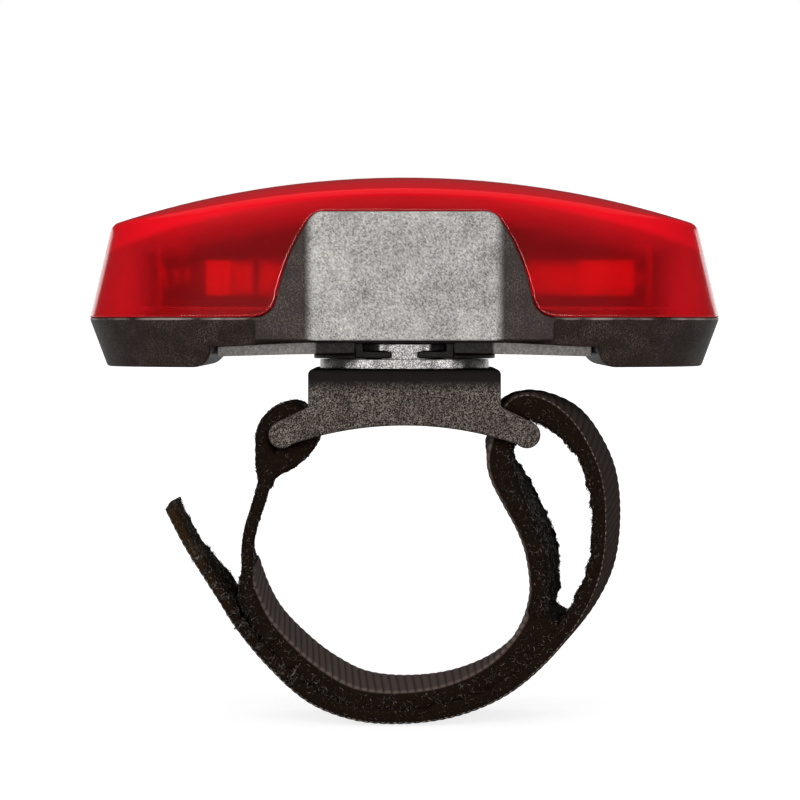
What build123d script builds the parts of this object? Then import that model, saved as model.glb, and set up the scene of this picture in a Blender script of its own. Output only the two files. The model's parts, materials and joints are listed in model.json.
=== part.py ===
from build123d import *
from math import radians, sqrt, tan
import os

os.makedirs("parts", exist_ok=True)

# Driving dimensions, in millimetres. X runs along the light, Y away from the viewer, Z up.
# The origin is the top of the saddle's hollow, on the swivel's axis.

# Bracket
saddle_radius = 35.7
bracket_height = 5.8
block_length = 19.7
block_corner = 0.6
bar_radius = 1.39
bar_reach = 12.5
bar_drop = 0.94
lug_rise = 1.9
bar_shoulder = 1.21
cheek = 1.5
slot_side_gap = 0.2
slot_margin = 0.1
slot_width = 2.5
slot_top_reach = 10.9
slot_bottom_reach = 9.5

# Swivel
disc_radius = 8.85
disc_thickness = 0.9
flange_radius = 9.5
flange_thickness = 0.45
socket_radius = 8.6
socket_height = 1.45
hub_head_radius = 6.0
hub_neck_radius = 4.5
hub_head_thickness = 0.8
swivel_gap = 0.1
ledge_rise = 0.3
hub_chamfer = 0.2
hub_cap = 0.3
window_length = 10.2
window_height = 1.6

# Hub screw
screw_shank_radius = 1.25
screw_head_radius = 2.4
screw_head_height = 1.1
screw_depth = 2.2
screw_tip_gap = 0.1
screw_cross_length = 3.12
screw_cross_width = 0.5
screw_cross_depth = 0.66
screw_clearance = 0.15

# Head
body_length = 66.0
body_width = 35.0
side_radius = 110.0
floor_thickness = 0.9
skirt_depth = 2.35
base_depth = 5.05
base_draft = 20.6
base_wall = 2.9
foot_gap = 39.0
arch_rise = 0.75
foot_round = 1.8
foot_bow = 0.54
foot_wall = 1.3
well_start = 21.8

# Lens
lens_height = 14.65
lens_draft = 13.5
lens_wall = 1.5
lens_rim = 1.2
crown_radius = 97.0
crown_cross_radius = 60.0

# Rim between lens and housing
lip_inset = 2.1
lip_height = 1.05
seal_inset = 1.0
seal_width = 1.0
seal_height = 0.75
seal_gap = 0.05

# Bosses on the long sides
boss_stand = 0.5
boss_depth = 5.4
boss_height = 10.55
boss_flat = 17.74
boss_foot = 15.0
boss_flare_run = 2.2
boss_flare_rise = 1.95
boss_flare_out = 1.55
boss_flare_up = 0.65
boss_side_bulge = 0.45
boss_shoulder = 9.6
boss_corner_run = 1.9
boss_corner_rise = 0.8
boss_corner_out = 0.7
boss_corner_up = 0.2
boss_wall = 1.6
boss_gap = 0.12
boss_pocket_length = 15.2
boss_pocket_height = 8.4
button_drop = 0.8

# Back plate
pad_length = 38.4
pad_width = 15.0
pad_arch = 0.34
pad_drop = 1.33
plate_screw_reach = 15.5
plate_screw_radius = 0.8
plate_screw_head = 1.6
plate_screw_length = 3.0
screw_boss_radius = 2.0
screw_boss_stand = 1.3

# Cells and their carrier
cell_radius = 5.25
cell_length = 44.5
cell_nub = 1.2
cell_nub_radius = 1.9
cell_lift = 0.1
cell_gap = 0.2
cell_rounding = 0.35
spring_length = 4.5
end_wall = 3.4
tray_share = 0.7
cradle_inset = 3.1
cradle_drop = 1.05
cradle_clearance = 0.3
rail_gap = 0.2
rail_thickness = 0.6
rail_length = 40.0
window_run = 35.0
end_block_width = 14.0
cell_clearance = 0.15
window_drop = 1.7
contact_thickness = 0.3
spring_wide = 3.2
spring_narrow = 2.3
spring_wire = 0.5
contact_width = 7.0
contact_height = 8.0

# Board, diodes and reflector
board_length = 42.0
board_width = 18.0
board_corner = 4.0
board_thickness = 0.6
board_clearance = 0.1
clip_clearance = 0.2
ear_length = 16.0
led_length = 3.5
led_width = 2.8
led_height = 1.9
led_corner = 0.3
led_recess = 0.4
led_clearance = 0.2
led_pitch = 13.8
reflector_thickness = 0.8
reflector_length = 34.0
reflector_width = 16.0
clip_length = 5.0
clip_thickness = 0.6
clip_drop = 3.2

# Push switch and button
button_length = 9.0
button_height = 6.0
button_proud = 0.6
button_rounding = 0.36
button_clearance = 0.15
button_flange = 0.9
button_flange_thickness = 0.8
switch_side = 6.0
switch_depth = 1.5
switch_corner = 0.4
plunger_radius = 1.7
plunger_length = 1.4
plunger_floor = 0.25
plunger_gap = 0.1
switch_board_length = 14.4
switch_board_height = 7.6
switch_board_thickness = 0.6

# Strap
strap_width = 16.0
pile_thickness = 1.65
hook_thickness = 1.55
anchor_thickness = 1.25
hinge_gap = 0.15

# Sizes and levels worked out from those above
bracket_depth = strap_width + 2 * (cheek + slot_side_gap)
disc_top = bracket_height + disc_thickness
flange_bottom = disc_top + swivel_gap
flange_top = flange_bottom + flange_thickness
ledge = flange_top + ledge_rise
hub_top = ledge + swivel_gap + hub_head_thickness
floor_bottom = flange_top + socket_height
floor_top = floor_bottom + floor_thickness
parting = floor_bottom + skirt_depth
foot_bottom = parting - base_depth
lens_top = parting + lens_height
boss_top = parting + boss_height
boss_face = body_width / 2 + boss_stand
boss_inner = boss_face - boss_depth
flank_end = body_width / 2 - boss_foot**2 / (2 * side_radius)
cell_level = floor_top + cell_lift + cell_radius
cell_side = cell_radius + cell_gap / 2
cell_valley = cell_lift + cell_radius - sqrt(cell_radius**2 - (cell_side - screw_boss_radius) ** 2)
screw_boss_height = min(screw_boss_stand, cell_valley)
rail_inner = cell_side + cell_radius + rail_gap
rail_outer = rail_inner + rail_thickness
bay_length = cell_length + spring_length + cell_gap
cradle_length = bay_length + 2 * end_wall
tray_top = cell_level - cell_radius * tray_share
board_bottom = cell_level + cell_radius + board_clearance
board_top = board_bottom + board_thickness
cradle_top = board_bottom - cradle_drop
pad_bottom = floor_bottom - pad_drop
button_level = (parting + boss_top) / 2 - button_drop


def save(piece, name):
    piece.part.label = name
    export_step(piece.part, f"parts/{name}.step")


# Housing

def body_plan(inset, mode=Mode.ADD):
    """Plan outline of the head: two bulged sides joined by tangent end arcs, drawn in by inset."""
    half_length = body_length / 2 - inset
    half_width = body_width / 2 - inset
    bulge = side_radius - inset
    end = (bulge**2 - (bulge - half_width) ** 2 - half_length**2) / (2 * (bulge - half_length))
    lean = (half_length - end) / (bulge - end)
    join_x = bulge * lean
    join_y = bulge * sqrt(1 - lean**2) - (bulge - half_width)
    with BuildLine() as outline:
        ThreePointArc((join_x, join_y), (0, half_width), (-join_x, join_y))
        ThreePointArc((-join_x, join_y), (-half_length, 0), (-join_x, -join_y))
        ThreePointArc((-join_x, -join_y), (0, -half_width), (join_x, -join_y))
        ThreePointArc((join_x, -join_y), (half_length, 0), (join_x, join_y))
    make_face(outline.edges(), mode=mode)


def boss_front(bottom):
    """Front outline of a boss: flared foot at the parting line, convex sides, rounded shoulders."""
    shoulder = boss_top - boss_corner_rise
    flare_top = parting + boss_flare_rise
    waist = boss_foot - boss_flare_run
    side_middle = ((waist + boss_shoulder) / 2 + boss_side_bulge, (flare_top + shoulder) / 2)
    with BuildLine() as outline:
        Line((0, bottom), (boss_foot, bottom))
        Line((boss_foot, bottom), (boss_foot, parting))
        ThreePointArc(
            (boss_foot, parting),
            (boss_foot - boss_flare_out, parting + boss_flare_up),
            (waist, flare_top),
        )
        ThreePointArc((waist, flare_top), side_middle, (boss_shoulder, shoulder))
        ThreePointArc(
            (boss_shoulder, shoulder),
            (boss_shoulder - boss_corner_out, boss_top - boss_corner_up),
            (boss_shoulder - boss_corner_run, boss_top),
        )
        Line((boss_shoulder - boss_corner_run, boss_top), (0, boss_top))
        mirror(about=Plane.YZ)
    make_face(outline.edges())


# One boss: the front outline carried inwards, kept to a plan with a flat face and two slanted flanks.
with BuildPart() as boss:
    with BuildSketch(Plane.XZ.offset(boss_inner)):
        boss_front(floor_bottom)
    extrude(amount=boss_face - boss_inner)
    with BuildSketch(Plane.XY.offset(floor_bottom)):
        with BuildLine():
            Polyline(
                (-boss_foot, -boss_inner),
                (-boss_foot, -flank_end),
                (-boss_flat / 2, -boss_face),
                (boss_flat / 2, -boss_face),
                (boss_foot, -flank_end),
                (boss_foot, -boss_inner),
                close=True,
            )
        make_face()
    extrude(amount=boss_top - floor_bottom, mode=Mode.INTERSECT)

with BuildPart() as housing:
    with BuildSketch(Plane((0, 0, parting), z_dir=(0, 0, -1))):
        body_plan(0)
    extrude(amount=base_depth, taper=base_draft)
    foot_x = foot_gap / 2
    with BuildSketch(Plane.XZ):
        with BuildLine():
            Polyline(
                (foot_x + foot_round, foot_bottom),
                (foot_x + foot_round, foot_bottom - 1),
                (-foot_x - foot_round, foot_bottom - 1),
                (-foot_x - foot_round, foot_bottom),
            )
            ThreePointArc(
                (-foot_x - foot_round, foot_bottom),
                (-foot_x - foot_bow, foot_bottom + foot_bow),
                (-foot_x, foot_bottom + foot_round),
            )
            ThreePointArc(
                (-foot_x, floor_bottom - arch_rise),
                (0, floor_bottom),
                (foot_x, floor_bottom - arch_rise),
            )
            Line((-foot_x, foot_bottom + foot_round), (-foot_x, floor_bottom - arch_rise))
            Line((foot_x, foot_bottom + foot_round), (foot_x, floor_bottom - arch_rise))
            ThreePointArc(
                (foot_x, foot_bottom + foot_round),
                (foot_x + foot_bow, foot_bottom + foot_bow),
                (foot_x + foot_round, foot_bottom),
            )
        make_face()
    extrude(amount=body_width, both=True, mode=Mode.SUBTRACT)
    # Flat recess under the floor, where the back plate lies
    with BuildSketch(Plane.XY.offset(foot_bottom)):
        Rectangle(foot_gap, body_width - 2 * base_wall)
    extrude(amount=floor_bottom - foot_bottom, mode=Mode.SUBTRACT)
    # Lip that stands inside the lens, then the cavity and the wells in the feet
    with BuildSketch(Plane.XY.offset(parting)):
        body_plan(lip_inset)
    extrude(amount=lip_height)
    with BuildSketch(Plane.XY.offset(floor_top)):
        body_plan(base_wall)
    extrude(amount=parting + lip_height - floor_top, mode=Mode.SUBTRACT)
    with BuildSketch(Plane.XY.offset(foot_bottom + foot_wall)):
        body_plan(base_wall + foot_wall)
        Rectangle(2 * well_start, body_width, mode=Mode.SUBTRACT)
    extrude(amount=floor_top - foot_bottom - foot_wall, mode=Mode.SUBTRACT)
    # Both bosses, each hollowed from inside
    add(boss.part)
    add(boss.part.mirror(Plane.XZ))
    with BuildSketch(Plane.XZ):
        with Locations((0, button_level)):
            Rectangle(boss_pocket_length, boss_pocket_height)
    extrude(amount=boss_face - boss_wall, both=True, mode=Mode.SUBTRACT)
    # Button opening through the far boss
    with BuildSketch(Plane.XZ.offset(-boss_face)):
        with Locations((0, button_level)):
            SlotOverall(button_length + 2 * button_clearance, button_height + 2 * button_clearance)
    extrude(amount=boss_wall * 1.5, mode=Mode.SUBTRACT)
    # Bosses for the plate screws
    with BuildSketch(Plane.XY.offset(floor_top)):
        with GridLocations(2 * plate_screw_reach, 0, 2, 1):
            Circle(screw_boss_radius)
    extrude(amount=screw_boss_height)
    with BuildSketch(Plane.XY.offset(floor_bottom)):
        with GridLocations(2 * plate_screw_reach, 0, 2, 1):
            Circle(plate_screw_radius)
    extrude(amount=floor_thickness + screw_boss_height, mode=Mode.SUBTRACT)
save(housing, "housing")


# Lens

def dome(inset):
    """Tapered, crowned form of the lens, drawn in by inset, added to the part being built."""
    with BuildSketch(Plane.XY.offset(parting)) as base:
        body_plan(inset)
    extrude(base.sketch, amount=lens_height, taper=lens_draft)
    axis_level = lens_top - crown_cross_radius
    half_chord = body_length / 2 + 2
    radius = crown_radius - inset
    top = lens_top - inset
    edge_level = top - radius + sqrt(radius**2 - half_chord**2)
    with BuildSketch(Plane.XZ) as section:
        with BuildLine() as outline:
            ThreePointArc((-half_chord, edge_level), (0, top), (half_chord, edge_level))
            Polyline(
                (half_chord, edge_level),
                (half_chord, axis_level),
                (-half_chord, axis_level),
                (-half_chord, edge_level),
            )
        make_face(outline.edges())
    revolve(section.sketch, axis=Axis((0, 0, axis_level), (1, 0, 0)), mode=Mode.INTERSECT)


with BuildPart() as lens_core:
    dome(lens_wall)

with BuildPart() as boss_notch:
    with BuildSketch(Plane.XZ.offset(boss_inner - boss_gap)):
        boss_front(parting - boss_gap)
        offset(amount=boss_gap)
    extrude(amount=body_width)

with BuildPart() as lens:
    dome(0)
    rim = lens.edges().filter_by(lambda edge: edge.bounding_box().min.Z > parting + lens_height / 3)
    fillet(rim, lens_rim)
    add(lens_core.part, mode=Mode.SUBTRACT)
    add(boss_notch.part, mode=Mode.SUBTRACT)
    add(boss_notch.part.mirror(Plane.XZ), mode=Mode.SUBTRACT)
    with BuildSketch(Plane.XY.offset(parting)):
        body_plan(seal_inset - seal_gap)
    extrude(amount=seal_height + 2 * seal_gap, mode=Mode.SUBTRACT)
save(lens, "lens")

with BuildPart() as lens_seals:
    with BuildSketch(Plane.XY.offset(parting)):
        body_plan(seal_inset)
        body_plan(seal_inset + seal_width, Mode.SUBTRACT)
        Rectangle(2 * (boss_foot + boss_gap + seal_gap), body_width, mode=Mode.SUBTRACT)
    extrude(amount=seal_height)
save(lens_seals, "lens_seals")


# Back plate with the swivel socket
with BuildPart() as back_plate:
    pad_x = pad_length / 2
    with BuildSketch(Plane.XZ):
        with BuildLine():
            ThreePointArc((-pad_x, pad_bottom - pad_arch), (0, pad_bottom), (pad_x, pad_bottom - pad_arch))
            Polyline(
                (pad_x, pad_bottom - pad_arch),
                (pad_x, floor_bottom),
                (-pad_x, floor_bottom),
                (-pad_x, pad_bottom - pad_arch),
            )
        make_face()
    extrude(amount=pad_width / 2, both=True)
    with BuildSketch(Plane.XY.offset(flange_top)):
        Circle(socket_radius)
    extrude(amount=socket_height)
    with BuildSketch(Plane.XY.offset(flange_bottom)):
        Circle(flange_radius)
    extrude(amount=flange_thickness)
    with BuildSketch(Plane.XY.offset(ledge)):
        Circle(hub_head_radius + 2 * swivel_gap)
    extrude(amount=floor_bottom - ledge, mode=Mode.SUBTRACT)
    with BuildSketch(Plane.XY.offset(flange_bottom)):
        Circle(hub_neck_radius + 2 * swivel_gap)
    extrude(amount=ledge - flange_bottom, mode=Mode.SUBTRACT)
    # A window each side shows the hub and lets the ring spread over its head
    window_depth = flange_radius - hub_neck_radius
    with BuildSketch(Plane.XY.offset(flange_bottom)):
        with GridLocations(0, flange_radius + hub_neck_radius, 1, 2):
            Rectangle(window_length, window_depth)
    extrude(amount=window_height, mode=Mode.SUBTRACT)
    with Locations(Plane((0, 0, pad_bottom - pad_arch), z_dir=(0, 0, -1))):
        with GridLocations(2 * plate_screw_reach, 0, 2, 1):
            CounterSinkHole(plate_screw_radius, plate_screw_head + screw_clearance, counter_sink_angle=90)
save(back_plate, "back_plate")

with BuildPart() as plate_screws:
    head_level = pad_bottom - pad_arch + screw_clearance
    with BuildSketch(Plane.XY.offset(head_level)):
        with GridLocations(2 * plate_screw_reach, 0, 2, 1):
            Circle(plate_screw_head)
    extrude(amount=plate_screw_head - plate_screw_radius, taper=45)
    with BuildSketch(Plane.XY.offset(head_level)):
        with GridLocations(2 * plate_screw_reach, 0, 2, 1):
            Circle(plate_screw_radius)
    extrude(amount=plate_screw_length)
save(plate_screws, "plate_screws")


# Swivel hub: polished disc on the bracket, with a headed post in the socket
with BuildPart() as swivel_hub:
    with BuildSketch(Plane.XY.offset(bracket_height)):
        Circle(disc_radius)
    extrude(amount=disc_thickness)
    with BuildSketch(Plane.XY.offset(disc_top)):
        Circle(hub_neck_radius)
    extrude(amount=ledge + swivel_gap - disc_top)
    with BuildSketch(Plane.XY.offset(ledge + swivel_gap)):
        Circle(hub_head_radius)
    extrude(amount=hub_head_thickness)
    chamfer(swivel_hub.edges().group_by(Axis.Z)[-1], hub_chamfer)
    with BuildSketch(Plane.XY.offset(bracket_height)):
        Circle(screw_shank_radius)
    extrude(amount=hub_top - hub_cap - bracket_height, mode=Mode.SUBTRACT)
save(swivel_hub, "swivel_hub")

with BuildPart() as hub_screw:
    with BuildSketch(Plane.XY.offset(screw_depth - screw_head_height)):
        Circle(screw_head_radius)
    extrude(amount=screw_head_height)
    fillet(hub_screw.edges().group_by(Axis.Z)[0], screw_head_height / 2)
    with BuildSketch(Plane.XY.offset(screw_depth)):
        Circle(screw_shank_radius)
    extrude(amount=hub_top - hub_cap - screw_tip_gap - screw_depth)
    with BuildSketch(Plane.XY.offset(screw_depth - screw_head_height)):
        Rectangle(screw_cross_length, screw_cross_width)
        Rectangle(screw_cross_width, screw_cross_length)
    extrude(amount=screw_cross_depth, mode=Mode.SUBTRACT)
save(hub_screw, "hub_screw")


# Bracket: saddle block with a strap bar at each end
with BuildPart() as bracket:
    bar_bottom = -bar_drop - bar_radius
    with BuildSketch(Plane.XZ):
        with BuildLine():
            Polyline(
                (-block_length / 2, bracket_height),
                (-block_length / 2, lug_rise),
                (-bar_reach - bar_radius / 2, bar_shoulder - bar_drop),
                (-bar_reach, bar_bottom),
                (bar_reach, bar_bottom),
                (bar_reach + bar_radius / 2, bar_shoulder - bar_drop),
                (block_length / 2, lug_rise),
                (block_length / 2, bracket_height),
                close=True,
            )
        make_face()
        with Locations((0, -saddle_radius)):
            Circle(saddle_radius, mode=Mode.SUBTRACT)
        with Locations((-bar_reach, -bar_drop), (bar_reach, -bar_drop)):
            Circle(bar_radius)
    extrude(amount=bracket_depth / 2, both=True)
    fillet(bracket.edges().group_by(Axis.Z)[-1].filter_by(Axis.Y), block_corner)
    # Slots for the strap, slanted inwards, leaving a cheek at each side
    with BuildSketch(Plane.XZ):
        for side in (-1, 1):
            with BuildLine():
                Polyline(
                    (side * (slot_top_reach + slot_width / 2), lug_rise + slot_margin),
                    (side * (slot_top_reach - slot_width / 2), lug_rise + slot_margin),
                    (side * (slot_bottom_reach - slot_width / 2), bar_bottom),
                    (side * (slot_bottom_reach + slot_width / 2), bar_bottom),
                    close=True,
                )
            make_face()
    extrude(amount=bracket_depth / 2 - cheek, both=True, mode=Mode.SUBTRACT)
    with BuildSketch(Plane.XY.offset(bar_bottom)):
        Circle(screw_head_radius + screw_clearance)
    extrude(amount=screw_depth - bar_bottom, mode=Mode.SUBTRACT)
    with BuildSketch(Plane.XY):
        Circle(screw_shank_radius + screw_clearance)
    extrude(amount=bracket_height, mode=Mode.SUBTRACT)
save(bracket, "bracket")


# Strap

def ribbon(route, thickness):
    """Side view of a tape: a smooth line through the route, given the tape's thickness."""
    steps = 3 * len(route)
    inner = []
    outer = []
    with BuildLine() as outline:
        centre = Spline(*route, mode=Mode.PRIVATE)
        for step in range(steps + 1):
            place = centre @ (step / steps)
            along = centre % (step / steps)
            across = Vector(-along.Y, along.X) * (thickness / 2)
            inner.append(place + across)
            outer.append(place - across)
        Spline(*inner)
        Line(inner[-1], outer[-1])
        Spline(*outer)
        Line(outer[0], inner[0])
    make_face(outline.edges())


# Each route lists points on the tape's middle line, across X and up Z
over_bar_route = [
    (-14.35, -6.2),
    (-14.7, -3.2),
    (-14.75, -0.9),
    (-14.2, 0.9),
    (-12.8, 1.85),
    (-11.2, 1.75),
    (-10.15, 0.6),
    (-9.6, -1.2),
]
under_bar_route = [(-9.66, -0.8), (-9.9, -2.5), (-11.2, -3.9), (-13.0, -5.0), (-14.2, -6.3)]
weld_route = [(-14.3, -5.8), (-15.0, -8.4), (-15.9, -11.6), (-16.1, -13.5)]
inner_route = [
    (-16.1, -13.8),
    (-16.2, -16.0),
    (-14.35, -20.3),
    (-11.4, -23.6),
    (-8.4, -26.0),
    (-5.0, -27.7),
    (-0.45, -28.15),
    (4.5, -27.4),
    (9.0, -25.2),
    (12.2, -21.6),
    (13.6, -17.6),
    (13.3, -13.5),
    (12.3, -10.5),
    (10.85, -7.8),
    (9.65, -5.4),
    (9.3, -3.4),
    (9.8, -1.3),
]
outer_route = [
    (9.95, -1.0),
    (10.4, 0.6),
    (11.4, 2.15),
    (13.2, 2.45),
    (15.6, 1.2),
    (17.6, -1.1),
    (19.4, -5.0),
    (19.95, -9.5),
    (19.5, -14.6),
    (17.9, -18.6),
    (15.3, -22.3),
    (12.0, -25.6),
    (8.6, -27.8),
    (4.3, -29.3),
    (-0.45, -29.85),
    (-5.0, -29.5),
    (-9.4, -27.8),
    (-13.2, -24.5),
    (-16.4, -20.7),
    (-17.9, -18.4),
]
tail_hinge = (-18.45, -17.5)
tail_route = [tail_hinge, (-20.1, -14.9), (-22.0, -11.8), (-23.8, -8.3)]

with BuildPart() as strap_anchor_loop:
    with BuildSketch(Plane.XZ):
        ribbon(over_bar_route, anchor_thickness)
        ribbon(under_bar_route, anchor_thickness)
        ribbon(weld_route, anchor_thickness)
    extrude(amount=strap_width / 2, both=True)
save(strap_anchor_loop, "strap_anchor_loop")

with BuildPart() as strap_inner_run:
    with BuildSketch(Plane.XZ):
        ribbon(inner_route, pile_thickness)
    extrude(amount=strap_width / 2, both=True)
save(strap_inner_run, "strap_inner_run")

with BuildPart() as strap_outer_run:
    with BuildSketch(Plane.XZ):
        ribbon(outer_route, hook_thickness)
        with Locations(tail_hinge):
            Circle(hook_thickness / 2 + hinge_gap, mode=Mode.SUBTRACT)
    extrude(amount=strap_width / 2, both=True)
save(strap_outer_run, "strap_outer_run")

with BuildPart() as strap_tail:
    with BuildSketch(Plane.XZ):
        ribbon(tail_route, hook_thickness)
        with Locations(tail_hinge):
            Circle(hook_thickness / 2)
    extrude(amount=strap_width / 2, both=True)
save(strap_tail, "strap_tail")


# Cells in their carrier
with BuildPart() as battery_cradle:
    with BuildSketch(Plane.XY.offset(floor_top + cell_lift / 2)):
        body_plan(cradle_inset)
        Rectangle(cradle_length, 2 * rail_outer, mode=Mode.INTERSECT)
    extrude(amount=tray_top - floor_top - cell_lift / 2)
    end_block = (cradle_length - bay_length) / 2 - contact_thickness
    lens_inner = lens_wall + (cradle_top - parting) * tan(radians(lens_draft))
    with BuildSketch(Plane.XY.offset(floor_top + cell_lift / 2)):
        with GridLocations(cradle_length - end_block, 0, 2, 1):
            Rectangle(end_block, end_block_width)
        with GridLocations(0, rail_inner + rail_outer, 1, 2):
            Rectangle(rail_length, rail_outer - rail_inner)
        body_plan(lens_inner + cradle_clearance, Mode.INTERSECT)
    extrude(amount=cradle_top - floor_top - cell_lift / 2)
    # Posts that the board's ears rest on
    with BuildSketch(Plane.XY.offset(cradle_top)):
        with GridLocations(0, rail_inner + rail_outer, 1, 2):
            Rectangle(ear_length, rail_outer - rail_inner)
    extrude(amount=cradle_drop)
    # Round bays for the cells
    with BuildSketch(Plane.YZ):
        with Locations((-cell_side, cell_level), (cell_side, cell_level)):
            Circle(cell_radius + cell_clearance)
    extrude(amount=bay_length / 2 + contact_thickness, both=True, mode=Mode.SUBTRACT)
    # Slots for the contacts at both ends
    with BuildSketch(Plane.XY.offset(cell_level - contact_height / 2 - cell_clearance)):
        with GridLocations(bay_length + contact_thickness, 0, 2, 1):
            Rectangle(contact_thickness, 2 * cell_side + contact_width + 2 * cell_clearance)
    extrude(amount=contact_height + cell_clearance, mode=Mode.SUBTRACT)
    # Long windows in the rails
    with BuildSketch(Plane.XZ):
        with Locations((0, cell_level)):
            Rectangle(window_run, 2 * window_drop)
    extrude(amount=body_width, both=True, mode=Mode.SUBTRACT)
    # Room for the screw bosses
    with BuildSketch(Plane.XY.offset(floor_top)):
        with GridLocations(2 * plate_screw_reach, 0, 2, 1):
            Circle(screw_boss_radius + screw_clearance)
    extrude(amount=screw_boss_height + screw_clearance, mode=Mode.SUBTRACT)
save(battery_cradle, "battery_cradle")


def cell(side):
    """One cell in the bay on that side: the near cell's nub points to +X, the far cell's to -X."""
    lead = -side
    can_length = cell_length - cell_nub
    nub_end = lead * (bay_length / 2 - cell_gap)
    with BuildPart() as one_cell:
        with BuildSketch(Plane.YZ.offset(nub_end - lead * cell_length)):
            with Locations((side * cell_side, cell_level)):
                Circle(cell_radius)
        extrude(amount=lead * can_length)
        fillet(one_cell.edges().filter_by(GeomType.CIRCLE), cell_rounding)
        with BuildSketch(Plane.YZ.offset(nub_end - lead * cell_nub)):
            with Locations((side * cell_side, cell_level)):
                Circle(cell_nub_radius)
        extrude(amount=lead * cell_nub)
    return one_cell


save(cell(-1), "battery_near")
save(cell(1), "battery_far")

with BuildPart() as battery_springs:
    for side in (-1, 1):
        wall = side * bay_length / 2
        with BuildSketch(Plane.YZ.offset(wall)):
            with Locations((side * cell_side, cell_level)):
                Circle(spring_wide)
                Circle(spring_wide - spring_wire, mode=Mode.SUBTRACT)
        extrude(amount=-side * spring_length / 2)
        with BuildSketch(Plane.YZ.offset(wall - side * spring_length / 2)):
            with Locations((side * cell_side, cell_level)):
                Circle(spring_wide)
                Circle(spring_narrow, mode=Mode.SUBTRACT)
        extrude(amount=-side * spring_length / 2)
save(battery_springs, "battery_springs")


def contact(side, centre, width):
    """A flat contact against the end of the bay, centred across the light and of that width."""
    with BuildPart() as plate:
        with BuildSketch(Plane.YZ.offset(side * bay_length / 2)):
            with Locations((centre, cell_level)):
                Rectangle(width, contact_height)
        extrude(amount=side * contact_thickness)
    return plate


save(contact(-1, 0, 2 * cell_side + contact_width), "contact_link")
save(contact(1, -cell_side, contact_width), "contact_positive")
save(contact(1, cell_side, contact_width), "contact_negative")


# Board, diodes and reflector
with BuildPart() as led_board:
    with BuildSketch(Plane.XY.offset(board_bottom)):
        RectangleRounded(board_length, board_width, board_corner)
        Rectangle(ear_length, 2 * rail_outer)
    extrude(amount=board_thickness)
save(led_board, "led_board")

with BuildPart() as leds:
    with BuildSketch(Plane.XY.offset(board_top)):
        with GridLocations(led_pitch, 0, 3, 1):
            RectangleRounded(led_length, led_width, led_corner)
    extrude(amount=led_height)
    with BuildSketch(Plane.XY.offset(board_top + led_height - led_recess)):
        with GridLocations(led_pitch, 0, 3, 1):
            Circle(led_width / 2 - led_corner)
    extrude(amount=led_recess, taper=-20, mode=Mode.SUBTRACT)
save(leds, "leds")

with BuildPart() as reflector:
    with BuildSketch(Plane.XY.offset(board_top)):
        RectangleRounded(reflector_length, reflector_width, board_corner)
        Rectangle(clip_length, 2 * (rail_outer + clip_clearance + clip_thickness))
        with GridLocations(led_pitch, 0, 3, 1):
            Rectangle(led_length + 2 * led_clearance, led_width + 2 * led_clearance, mode=Mode.SUBTRACT)
    extrude(amount=reflector_thickness)
    with BuildSketch(Plane.XY.offset(board_top)):
        with GridLocations(0, 2 * (rail_outer + clip_clearance) + clip_thickness, 1, 2):
            Rectangle(clip_length, clip_thickness)
    extrude(amount=-clip_drop)
save(reflector, "reflector")


# Button and push switch in the far boss. Depths run out along Y from the boss's mouth.
board_face = boss_inner + switch_board_thickness
switch_face = board_face + switch_depth
button_back = boss_face - boss_wall - button_flange_thickness - button_clearance
plunger_tip = button_back - plunger_gap / 2


def out_from(depth):
    """Plane across the far boss at that depth, facing out of the boss, its X along the light."""
    return Plane((0, depth, button_level), x_dir=(1, 0, 0), z_dir=(0, 1, 0))


with BuildPart() as power_button:
    with BuildSketch(out_from(button_back)):
        SlotOverall(button_length + 2 * button_flange, button_height + 2 * button_flange)
    extrude(amount=button_flange_thickness)
    with BuildSketch(out_from(button_back)):
        SlotOverall(button_length, button_height)
    extrude(amount=boss_face + button_proud - button_back)
    fillet(power_button.edges().group_by(Axis.Y)[-1], button_rounding)
save(power_button, "power_button")

with BuildPart() as switch_board:
    with BuildSketch(out_from(boss_inner)):
        Rectangle(switch_board_length, switch_board_height)
    extrude(amount=switch_board_thickness)
save(switch_board, "switch_board")

with BuildPart() as switch_body:
    with BuildSketch(out_from(board_face)):
        RectangleRounded(switch_side, switch_side, switch_corner)
    extrude(amount=switch_depth)
    with BuildSketch(out_from(switch_face)):
        Circle(plunger_radius + plunger_gap)
    extrude(amount=plunger_floor - switch_depth, mode=Mode.SUBTRACT)
save(switch_body, "switch_body")

with BuildPart() as switch_plunger:
    with BuildSketch(out_from(plunger_tip - plunger_length)):
        Circle(plunger_radius)
    extrude(amount=plunger_length)
save(switch_plunger, "switch_plunger")
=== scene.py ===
import json
from math import pi, radians

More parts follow.
